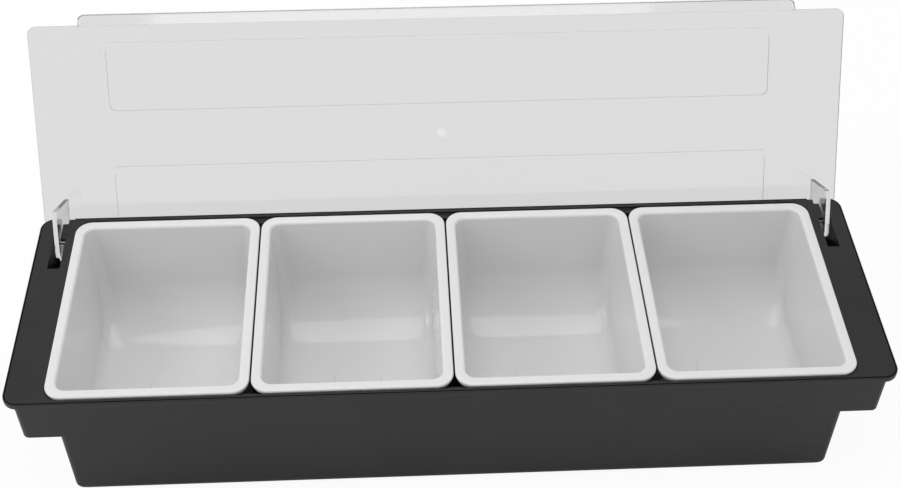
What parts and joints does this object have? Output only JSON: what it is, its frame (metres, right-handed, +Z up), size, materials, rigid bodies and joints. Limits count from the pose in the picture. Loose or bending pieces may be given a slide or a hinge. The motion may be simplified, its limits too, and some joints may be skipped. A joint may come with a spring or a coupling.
{
  "type": "condiment caddy",
  "caption": "Long black condiment caddy with lift-out white cups and one clear flip lid that leans back on two arms.",
  "frame": {"origin": "centre of the tub's flat underside", "axes": "+X along the caddy to the right as seen from the front, -Y to the front, +Z up from the table"},
  "size_m": [0.3804, 0.174, 0.1365],
  "materials": {
    "black_plastic": "satin moulded",
    "white_plastic": "smooth gloss",
    "clear_plastic": "clear with a light frosting"
  },
  "bodies": {
    "tray": {"base_tub": "black_plastic", "top_frame": "black_plastic"},
    "cup_1": {"insert_1": "white_plastic"},
    "cup_2": {"insert_2": "white_plastic"},
    "cup_3": {"insert_3": "white_plastic"},
    "cup_4": {"insert_4": "white_plastic"},
    "flip_lid": {"lid": "clear_plastic"}
  },
  "joints": [
    {"name": "cup_1_lift", "type": "slide", "parent": "tray", "child": "cup_1", "axis": [0, 0, 1], "range_m": [0, 0.07]},
    {"name": "cup_2_lift", "type": "slide", "parent": "tray", "child": "cup_2", "axis": [0, 0, 1], "range_m": [0, 0.07]},
    {"name": "cup_3_lift", "type": "slide", "parent": "tray", "child": "cup_3", "axis": [0, 0, 1], "range_m": [0, 0.07]},
    {"name": "cup_4_lift", "type": "slide", "parent": "tray", "child": "cup_4", "axis": [0, 0, 1], "range_m": [0, 0.07]},
    {"name": "lid_hinge", "type": "hinge", "parent": "tray", "child": "flip_lid", "pos_m": [0, 0.0485, 0.053], "axis": [-1, 0, 0], "range_deg": [-119.4, 0]}
  ]
}
